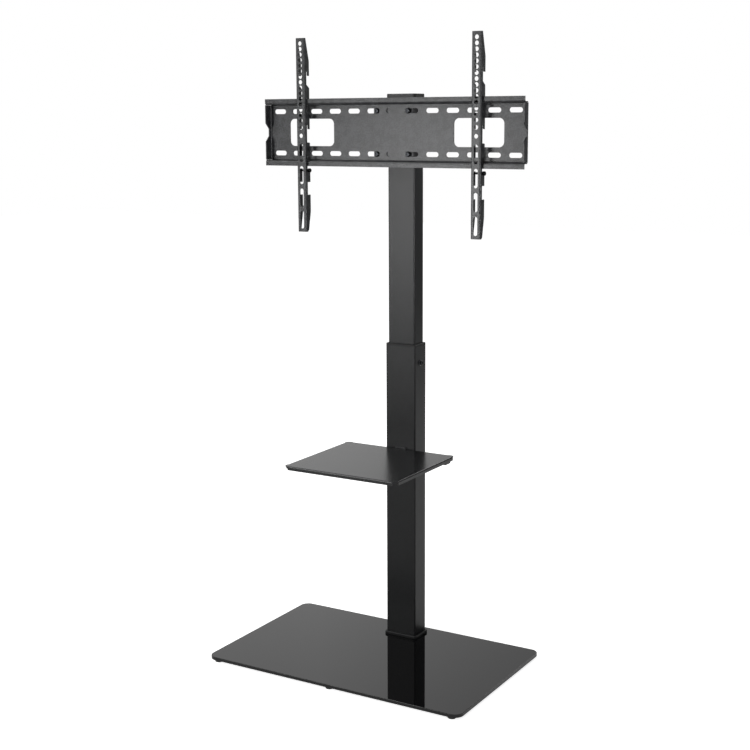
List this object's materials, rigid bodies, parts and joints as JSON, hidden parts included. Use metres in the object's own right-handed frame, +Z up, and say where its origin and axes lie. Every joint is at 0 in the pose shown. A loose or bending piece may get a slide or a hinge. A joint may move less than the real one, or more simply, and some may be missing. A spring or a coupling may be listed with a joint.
{
  "type": "tv stand with mount",
  "caption": "Floor stand for a television: black glass foot, telescopic steel column, small shelf, slotted plate and hook-on arms.",
  "frame": {"origin": "on the floor under the middle of the glass foot and of the wall plate", "axes": "+X to the right as the television's viewer sees it, +Y to the back, +Z up along the column"},
  "size_m": [0.6754, 0.42, 1.4476],
  "materials": {
    "coated_steel": "satin",
    "column_steel": "satin",
    "black_screw": "satin",
    "zinc_steel": "satin",
    "black_plastic": "matte",
    "black_rubber": "matte",
    "black_glass": "gloss"
  },
  "bodies": {
    "root": {"base_glass": "black_glass", "base_feet": "black_rubber", "clamp_plate": "coated_steel", "lower_gasket": "black_rubber", "upper_gasket": "black_rubber", "base_bolts": "zinc_steel", "foot_plate": "coated_steel", "foot_collar": "black_plastic", "lower_column": "column_steel", "guide_sleeve": "black_plastic", "lock_insert": "zinc_steel", "shelf_panel": "coated_steel", "shelf_rail": "coated_steel", "rail_caps": "black_plastic", "shelf_bracket": "coated_steel", "shelf_screws": "zinc_steel", "bracket_screws": "zinc_steel"},
    "upper": {"upper_column": "column_steel", "lower_guide": "black_plastic", "top_cap": "black_plastic", "bracket_spacer": "column_steel", "mount_bracket": "coated_steel", "wall_plate": "coated_steel", "plate_washers": "black_screw", "plate_bolts": "black_screw"},
    "arm_left": {"arm_left": "coated_steel"},
    "arm_right": {"arm_right": "coated_steel"},
    "safety_left": {"safety_screw_left": "black_screw"},
    "safety_right": {"safety_screw_right": "black_screw"},
    "lock": {"lock_screw": "black_screw"}
  },
  "joints": [
    {"name": "column_slide", "type": "slide", "parent": "root", "child": "upper", "axis": [0, 0, 1], "range_m": [-0.25, 0.1]},
    {"name": "arm_left_slide", "type": "slide", "parent": "upper", "child": "arm_left", "axis": [1, 0, 0], "range_m": [-0.0694, 0.1306]},
    {"name": "arm_right_slide", "type": "slide", "parent": "upper", "child": "arm_right", "axis": [1, 0, 0], "range_m": [-0.1262, 0.0738]},
    {"name": "safety_left_draw", "type": "slide", "parent": "arm_left", "child": "safety_left", "axis": [1, 0, 0], "range_m": [0, 0.02]},
    {"name": "safety_right_draw", "type": "slide", "parent": "arm_right", "child": "safety_right", "axis": [1, 0, 0], "range_m": [0, 0.02]},
    {"name": "lock_screw_travel", "type": "slide", "parent": "root", "child": "lock", "axis": [1, 0, 0], "range_m": [0, 0.006]}
  ]
}
